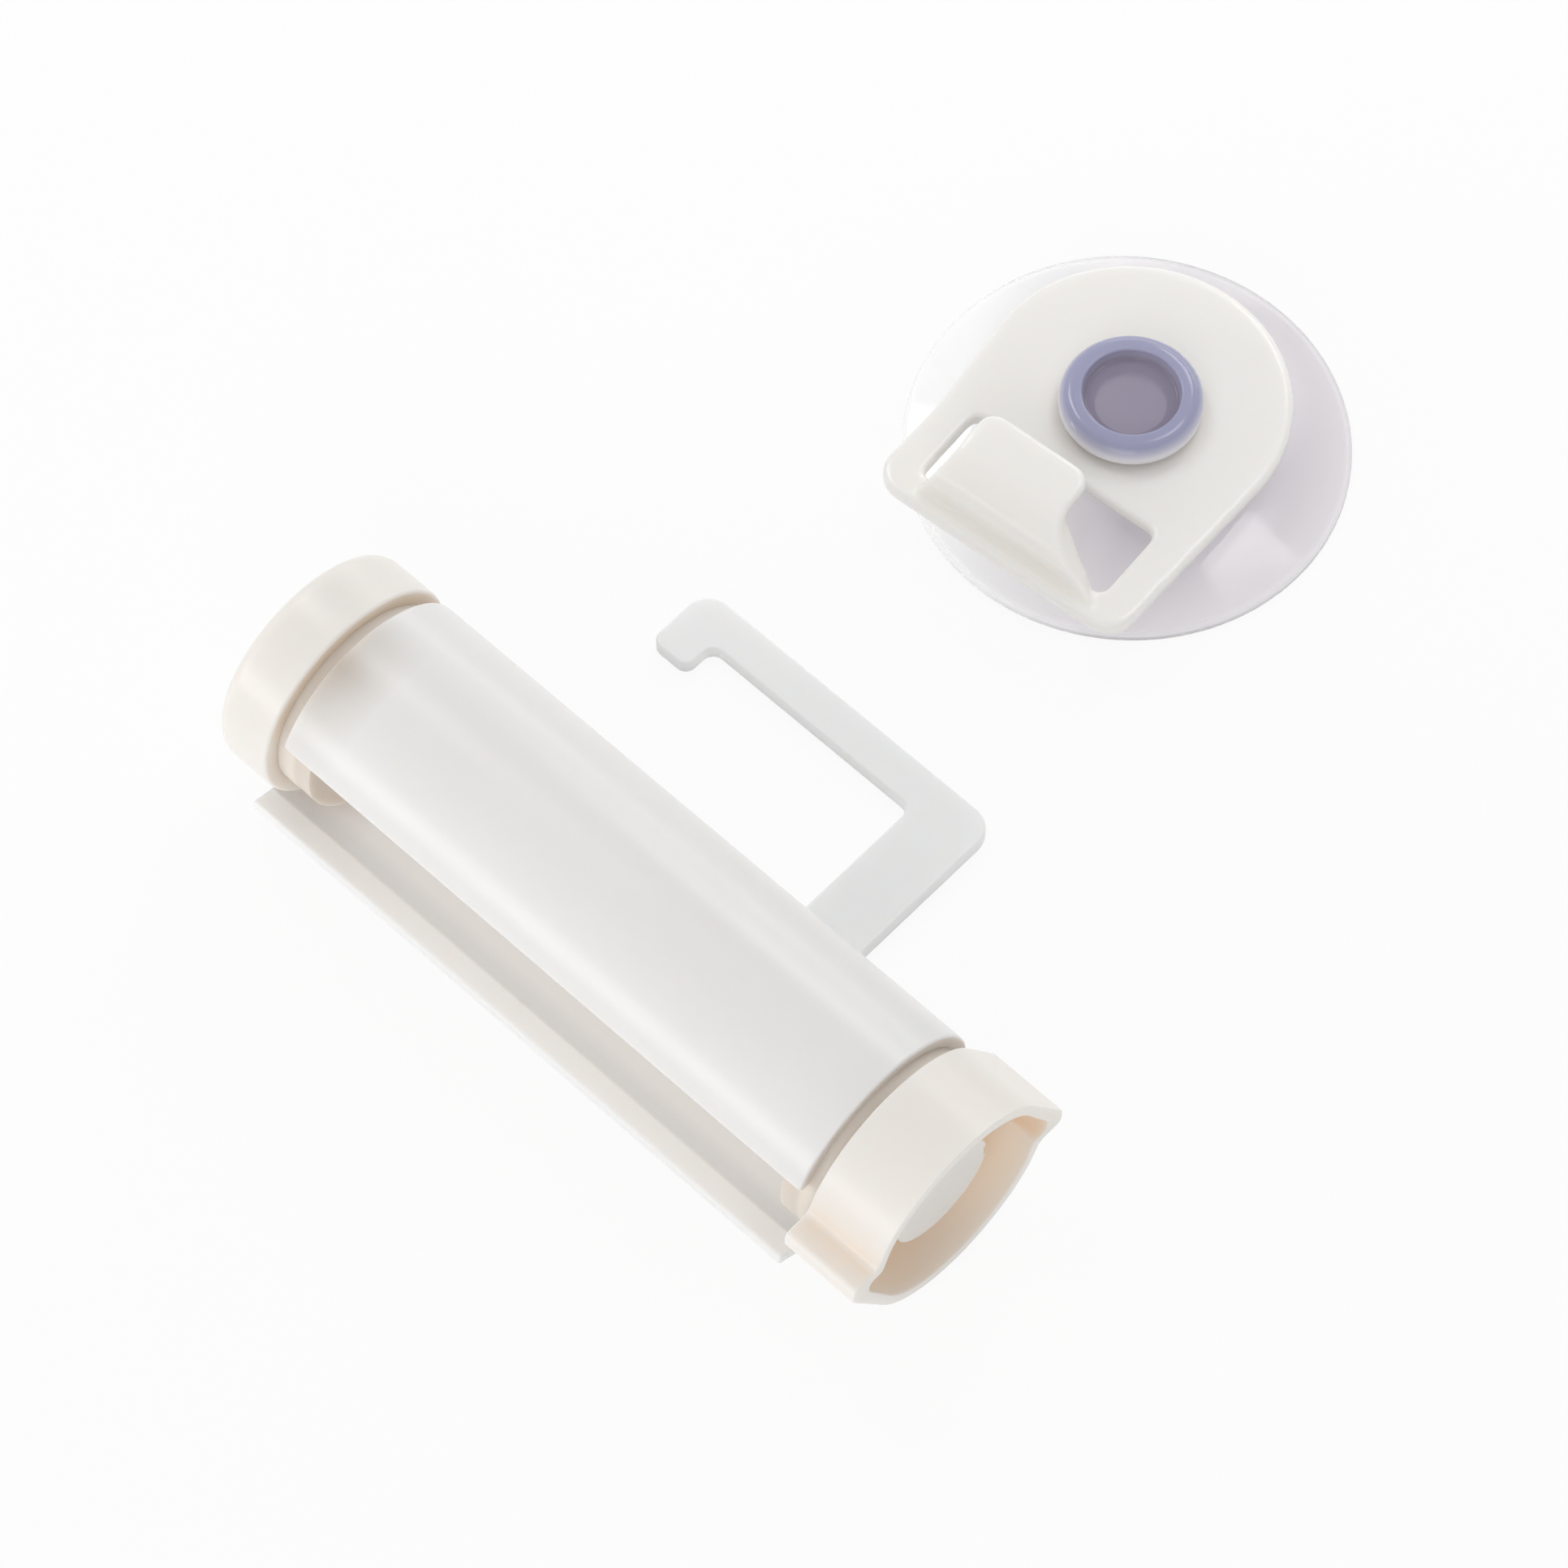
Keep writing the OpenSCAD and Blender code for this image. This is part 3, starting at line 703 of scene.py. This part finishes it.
# The cup is darker towards its middle: partly its thicker vinyl, partly painted shade from the plate above
# it.
middle_violet, rim_violet, cloud_violet = (0.58, 0.545, 0.585), (0.80, 0.775, 0.80), (0.74, 0.71, 0.76)
to_rim = fade(vinyl, off_axis, cup_r / 2, cup_r, 0.0, 1.0)
cup_tint = vinyl.mix(to_rim, middle_violet, rim_violet)
vinyl_cloud_mean, vinyl_cloud_share = 0.4, 0.4
cup_tint = vinyl.mix((vinyl_clouds - vinyl_cloud_mean) * vinyl_cloud_share, cup_tint, cloud_violet)
# Towards the front left the cup is painted white and its rim fades out more: painted light.
from_middle = vinyl.node("VectorMath", {"operation": "SUBTRACT"}, vinyl_at, cup_middle)
painted_light_toward = (-0.85, -0.5, 0)
leftward = vinyl.node("VectorMath", {"operation": "DOT_PRODUCT"}, from_middle, painted_light_toward, out="Value")
painted_light_from, painted_light_full = -2, 20
painted_light_side = fade(vinyl, leftward, painted_light_from, painted_light_full, 0.0, 1.0)
cup_tint = vinyl.mix(painted_light_side, cup_tint, (1, 1, 1))
rim_from, rim_full = 0.9, 0.3
at_rim = fade(vinyl, off_axis, cup_r - rim_from, cup_r - rim_full, 0.0, 1.0)
rim_loss, painted_light_rim_loss = 0.25, 0.6
rim_fade = at_rim * (rim_loss + painted_light_rim_loss * painted_light_side)
ripple = vinyl.node("Bump", None, Strength=0.15, Distance=0.05 * MM, Height=vinyl_clouds)
thin_vinyl = vinyl.node(
    "BsdfPrincipled", None, Base_Color=cup_tint, Roughness=0.06 + vinyl_clouds * 0.08 + at_rim * 0.4,
    Normal=ripple, Alpha=1 - rim_fade, IOR=1.45, Transmission_Weight=0.9,
)
thick_vinyl = vinyl.node(
    "BsdfPrincipled", {"subsurface_method": "RANDOM_WALK"}, Base_Color=button_tint,
    Roughness=0.08 + vinyl_clouds * 0.1, Normal=ripple, IOR=1.45,
    Subsurface_Weight=0.3, Subsurface_Scale=1.5 * MM, Subsurface_Radius=(0.8, 0.8, 1.0),
)
milky_share = 0.85
clear_vinyl = vinyl.finish(vinyl.node("MixShader", None, in_button * milky_share, thin_vinyl, thick_vinyl))
cup = lathe("suction_cup_moulding", cup_profile, (cup_x, cup_y, 0), (0, 0, 1), clear_vinyl, steps=192)
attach(cup, "case")
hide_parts("suction_cup")


# Hook plate.
# A glossy white plate that turns on the neck of the cup. A tongue is bent up out of its front
# rail and runs back over the window. Both are drawn sharp, fused and smoothed like the moulding.
def sheet_path(corners, steps):
    """Middle line of a bent strip from corners (y, z, radius)."""
    ends = [(*corners[0][:2], 0), *corners[1:-1], (*corners[-1][:2], 0)]
    return rounded(ends, steps)


plate_low, plate_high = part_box("hook_plate")
plate_z = plate_low.z / MM
plate_t = 2.0
plate_top = plate_z + plate_t
plate_turn = radians(5)
neck_side = 0.5
plate_r, plate_back = 17.8, 1.2
plate_half, plate_front, plate_corner = 16.8, 24.8, 3.5
plate_waist, waist_round = 16.6, 25
hole_play = 0.15
window_half, window_front, window_back, window_round = 12.5, 21.3, 11.1, 1.4
plate_outline = arc((0, plate_back), plate_r, 0, pi, steps=60) + rounded([
    (-plate_r, plate_back, 0), (-plate_waist, -plate_front / 2, waist_round),
    (-plate_half, -plate_front, plate_corner),
    (plate_half, -plate_front, plate_corner), (plate_r, plate_back, 0),
], steps=10)[1:-1]
window_outline = rounded([
    (-window_half, -window_front, window_round), (window_half, -window_front, window_round),
    (window_half, -window_back, window_round), (-window_half, -window_back, window_round),
], steps=6)
hole_outline = arc((neck_side, 0), neck_r + hole_play, 0, 2 * pi, steps=48)[:-1]


def flat_solid(name, outline, low, high):
    """A closed flat solid over an outline, in millimetres."""
    shape = bmesh.new()
    prism(shape, outline, lambda point, end: (*point, high if end else low))
    bmesh.ops.recalc_face_normals(shape, faces=shape.faces)
    mesh = bpy.data.meshes.new(name)
    shape.to_mesh(mesh)
    shape.free()
    return add_object(name, mesh)


def cut_or_join(piece, tool, operation):
    """Cuts a tool out of a piece, or joins it on, and removes the tool."""
    step = piece.modifiers.new("step", "BOOLEAN")
    step.operation = operation
    step.object = tool
    step.solver = "EXACT"
    fix_modifiers(piece)
    bpy.data.objects.remove(tool)


def fix_modifiers(piece):
    """Turns what the modifiers make of a piece into its own mesh."""
    depsgraph = bpy.context.evaluated_depsgraph_get()
    mesh = bpy.data.meshes.new_from_object(piece.evaluated_get(depsgraph))
    piece.modifiers.clear()
    piece.data = mesh


plate = flat_solid("hook_plate_moulding", plate_outline, plate_z, plate_top)
cut_or_join(plate, flat_solid("window", window_outline, plate_z - 1, plate_top + 1), "DIFFERENCE")
cut_or_join(plate, flat_solid("hole", hole_outline, plate_z - 1, plate_top + 1), "DIFFERENCE")

tongue_left, tongue_right = -9.3, 4.9
tongue_root, tongue_spread, spread_power = 2.4, 8.2, 1.2
tongue_corner = 2.2
tongue_gap = 4.1
tongue_bend, knee_bend = 3.6, 3.0
tongue_foot = 21.9
tongue_rise = radians(60)
tongue_fat = 1.5
tongue_tip = 13.0
tongue_lift = 0.55
tongue_inset = 0.5
bend_steps, rise_steps, flat_steps = 10, 6, 10
mid_z = plate_z + plate_t / 2
tongue_z = plate_top + tongue_gap + plate_t / 2
knee = tongue_foot - (tongue_z - mid_z) / tan(tongue_rise)
line = sheet_path([
    (tongue_inset - plate_front, mid_z, 0), (-tongue_foot, mid_z, tongue_bend),
    (-knee, tongue_z, knee_bend), (-tongue_tip, tongue_z + tongue_lift, 0),
], bend_steps)
flat_from, flat_to = Vector(line[-2]), Vector(line.pop())
rise_at = bend_steps + 2
rise_from, rise_to = Vector(line[rise_at - 1]), Vector(line[rise_at])
line[rise_at:rise_at] = [tuple(rise_from.lerp(rise_to, i / rise_steps)) for i in range(1, rise_steps)]
for i in range(1, flat_steps + 1):
    line.append(tuple(flat_from.lerp(flat_to, 1 - (1 - i / flat_steps) ** 2)))
tongue_shape = bmesh.new()
across = 24
grid = []
for i, (y, z) in enumerate(line):
    before, after = Vector(line[max(i - 1, 0)]), Vector(line[min(i + 1, len(line) - 1)])
    along = (after - before).normalized()
    up = Vector((-along.y, along.x)) * plate_t / 2
    climb = min(max((z - mid_z) / (tongue_z - mid_z), 0), 1)
    flare = 1 - (1 - (1 - climb) ** spread_power) ** (1 / spread_power)
    short = tongue_corner - min(-y - tongue_tip, tongue_corner)
    inset = tongue_corner - sqrt(tongue_corner ** 2 - short ** 2)
    left = tongue_left - tongue_root * flare + inset
    right = tongue_right + tongue_spread * flare - inset
    rows = []
    for side in (1 + tongue_fat * sin(pi * climb) / (plate_t / 2), -1):
        xs = [left + (right - left) * k / across for k in range(across + 1)]
        rows.append([tongue_shape.verts.new((x, y + side * up.x, z + side * up.y)) for x in xs])
    grid.append(rows)
for a, b in zip(grid, grid[1:]):
    for k in range(across):
        tongue_shape.faces.new((a[0][k], a[0][k + 1], b[0][k + 1], b[0][k]))
        tongue_shape.faces.new((a[1][k], b[1][k], b[1][k + 1], a[1][k + 1]))
    for k in (0, across):
        tongue_shape.faces.new((a[0][k], a[1][k], b[1][k], b[0][k]))
for rows in (grid[0], grid[-1]):
    for k in range(across):
        tongue_shape.faces.new((rows[0][k], rows[0][k + 1], rows[1][k + 1], rows[1][k]))
bmesh.ops.recalc_face_normals(tongue_shape, faces=tongue_shape.faces)
tongue_mesh = bpy.data.meshes.new("tongue")
tongue_shape.to_mesh(tongue_mesh)
tongue_shape.free()
cut_or_join(plate, add_object("tongue", tongue_mesh), "UNION")

fusing = plate.modifiers.new("fusing", "REMESH")
fusing.mode = "VOXEL"
fusing.voxel_size = 0.22
fusing.use_smooth_shade = True
easing = plate.modifiers.new("easing", "SMOOTH")
easing.factor = 0.5
easing.iterations = 34
fix_modifiers(plate)
place = Matrix.Translation((cup_x * MM, cup_y * MM, 0)) @ Matrix.Rotation(plate_turn, 4, "Z")
place = place @ Matrix.Scale(MM, 4) @ Matrix.Translation((-neck_side, 0, 0))
plate.data.transform(place)
# The plate's hollows are painted a little darker, as shade, with a faint painted glow.
hook_white = plastic(
    "hook_plastic", colour=(0.87, 0.857, 0.83), hollow=(0.86, 0.82, 0.77), reach=5,
    fall_off=0.8, roughness=0.22, inner_glow=0.05, grain_depth=0.008,
)
plate.data.materials.clear()
plate.data.materials.append(hook_white)
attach(plate, "hook")
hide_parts("hook_plate")
